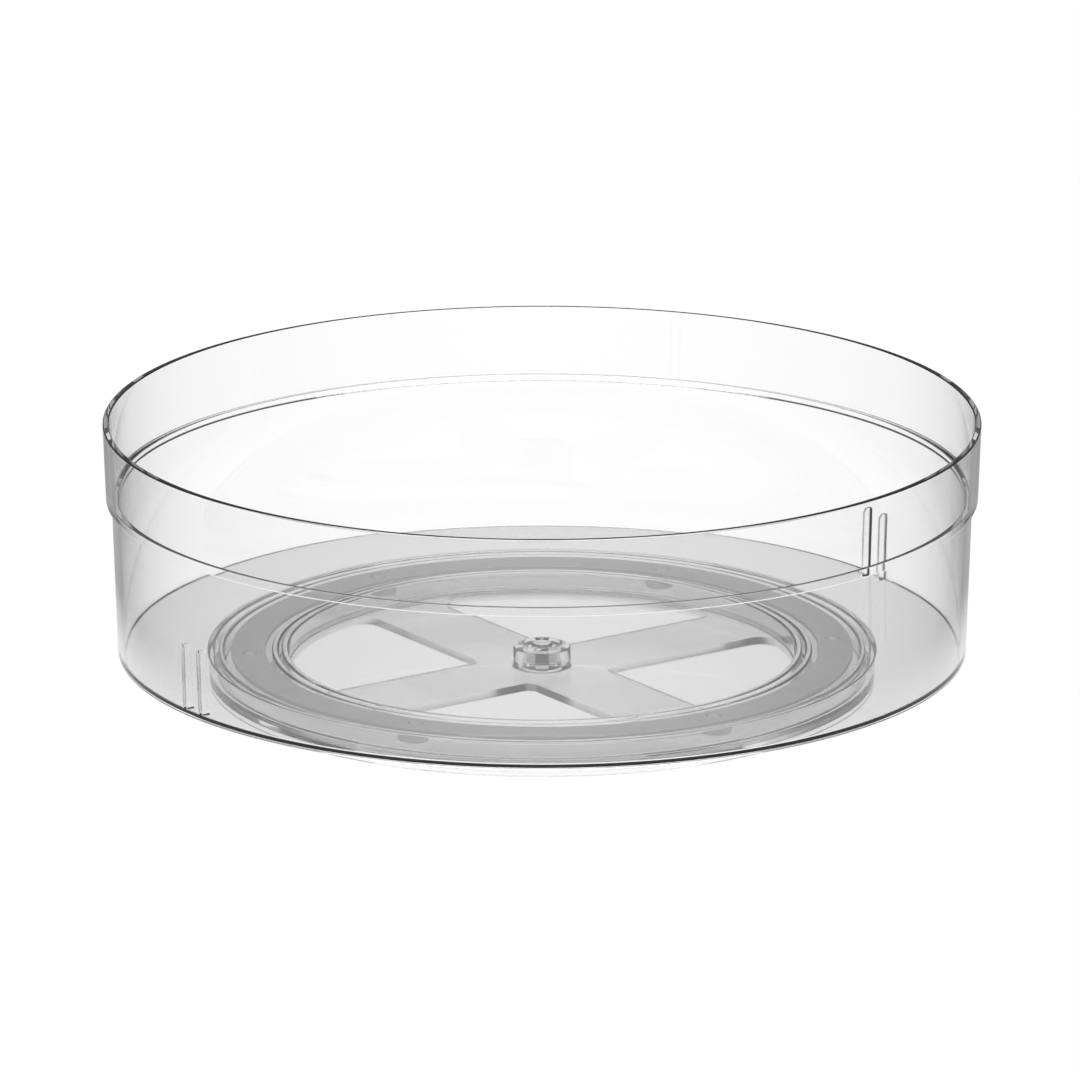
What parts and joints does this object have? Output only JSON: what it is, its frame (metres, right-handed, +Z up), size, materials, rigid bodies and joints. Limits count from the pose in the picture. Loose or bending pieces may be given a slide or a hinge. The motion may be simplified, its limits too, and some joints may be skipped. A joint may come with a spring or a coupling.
{
  "type": "lazy susan turntable",
  "caption": "Clear round storage bin with a stepped wall and divider ribs that spins on a ball race in a low clear base ring.",
  "frame": {"origin": "on the axis of rotation, at the surface that the base stands on", "axes": "+Z up along the axis of rotation; X along one pair of base arms and through both pairs of divider ribs; Y along the other arms"},
  "size_m": [0.292, 0.292, 0.0902],
  "materials": {
    "clear_bin": "polished clear moulded plastic",
    "clear_base": "polished clear moulded plastic",
    "clear_plug": "clear moulded plastic",
    "grey_cage": "satin grey moulded plastic",
    "grey_ball": "smooth grey plastic balls"
  },
  "bodies": {
    "base": {"base": "clear_base"},
    "bin": {"bin": "clear_bin", "pivot_plug": "clear_plug"},
    "cage": {"ball_cage": "grey_cage"},
    "ball_1": {"ball_1": "grey_ball"},
    "ball_2": {"ball_2": "grey_ball"},
    "ball_3": {"ball_3": "grey_ball"},
    "ball_4": {"ball_4": "grey_ball"},
    "ball_5": {"ball_5": "grey_ball"},
    "ball_6": {"ball_6": "grey_ball"}
  },
  "joints": [
    {"name": "bin_spin", "type": "hinge", "parent": "base", "child": "bin", "pos_m": [0, 0, 0], "axis": [0, 0, 1], "continuous": true},
    {"name": "cage_spin", "type": "hinge", "parent": "base", "child": "cage", "pos_m": [0, 0, 0], "axis": [0, 0, 1], "continuous": true},
    {"name": "ball_1_roll", "type": "hinge", "parent": "cage", "child": "ball_1", "pos_m": [0.08461, 0.04885, 0.0085], "axis": [0.866, 0.5, 0], "continuous": true},
    {"name": "ball_2_roll", "type": "hinge", "parent": "cage", "child": "ball_2", "pos_m": [0, 0.0977, 0.0085], "axis": [0, 1, 0], "continuous": true},
    {"name": "ball_3_roll", "type": "hinge", "parent": "cage", "child": "ball_3", "pos_m": [-0.08461, 0.04885, 0.0085], "axis": [-0.866, 0.5, 0], "continuous": true},
    {"name": "ball_4_roll", "type": "hinge", "parent": "cage", "child": "ball_4", "pos_m": [-0.08461, -0.04885, 0.0085], "axis": [-0.866, -0.5, 0], "continuous": true},
    {"name": "ball_5_roll", "type": "hinge", "parent": "cage", "child": "ball_5", "pos_m": [0, -0.0977, 0.0085], "axis": [0, -1, 0], "continuous": true},
    {"name": "ball_6_roll", "type": "hinge", "parent": "cage", "child": "ball_6", "pos_m": [0.08461, -0.04885, 0.0085], "axis": [0.866, -0.5, 0], "continuous": true}
  ],
  "couplings": [
    {"joint": "cage_spin", "follows": "bin_spin", "ratio": 0.5},
    {"joint": "ball_1_roll", "follows": "bin_spin", "ratio": -14.368},
    {"joint": "ball_2_roll", "follows": "bin_spin", "ratio": -14.368},
    {"joint": "ball_3_roll", "follows": "bin_spin", "ratio": -14.368},
    {"joint": "ball_4_roll", "follows": "bin_spin", "ratio": -14.368},
    {"joint": "ball_5_roll", "follows": "bin_spin", "ratio": -14.368},
    {"joint": "ball_6_roll", "follows": "bin_spin", "ratio": -14.368}
  ]
}
